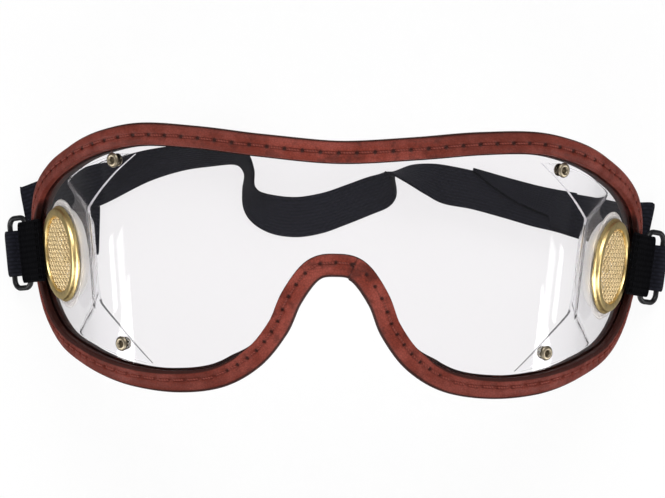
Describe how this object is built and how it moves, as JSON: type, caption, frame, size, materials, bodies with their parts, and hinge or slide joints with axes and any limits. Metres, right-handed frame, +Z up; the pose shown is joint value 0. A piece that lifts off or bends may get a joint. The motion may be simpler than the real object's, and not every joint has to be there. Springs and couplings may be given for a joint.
{
  "type": "skydiving goggles",
  "caption": "Skydiving goggles with a clear wrap lens bound in brown leather, round brass side vents, inner baffles and a black elastic strap.",
  "frame": {"origin": "middle of the bounding box, at the table the goggles lie on", "axes": "+Z up out of the front of the lens, +Y towards the brow, +X across the face"},
  "size_m": [0.186, 0.0677, 0.0732],
  "materials": {
    "clear_lens": "clear gloss polycarbonate",
    "leather": "satin, stitched",
    "brass": "polished",
    "brass_mesh": "fine woven",
    "pale_plastic": "gloss",
    "clear_film": "clear gloss film",
    "eyelet_metal": "aged",
    "webbing": "woven webbing",
    "black_plastic": "semi gloss",
    "elastic": "woven elastic"
  },
  "bodies": {
    "frame": {"lens": "clear_lens", "leather_binding": "leather", "vent_bezel_left": "brass", "vent_bezel_right": "brass", "vent_screen_left": "brass_mesh", "vent_screen_right": "brass_mesh", "vent_retainer_left": "pale_plastic", "vent_retainer_right": "pale_plastic", "baffle_left": "clear_film", "baffle_right": "clear_film", "baffle_eyelets_left": "eyelet_metal", "baffle_eyelets_right": "eyelet_metal", "strap_tab_left": "webbing", "strap_tab_right": "webbing", "strap": "elastic"},
    "left_ring": {"strap_ring_left": "black_plastic", "strap_loop_left": "elastic"},
    "right_ring": {"strap_ring_right": "black_plastic", "strap_loop_right": "elastic"}
  },
  "joints": [
    {"name": "left_ring_swing", "type": "hinge", "parent": "frame", "child": "left_ring", "pos_m": [-0.08487, 0.0008, 0.0066], "axis": [-0.1182, 0.993, 0], "range_deg": [0, 60]},
    {"name": "right_ring_swing", "type": "hinge", "parent": "frame", "child": "right_ring", "pos_m": [0.08487, 0.0008, 0.0066], "axis": [-0.1182, -0.993, 0], "range_deg": [0, 60]}
  ]
}
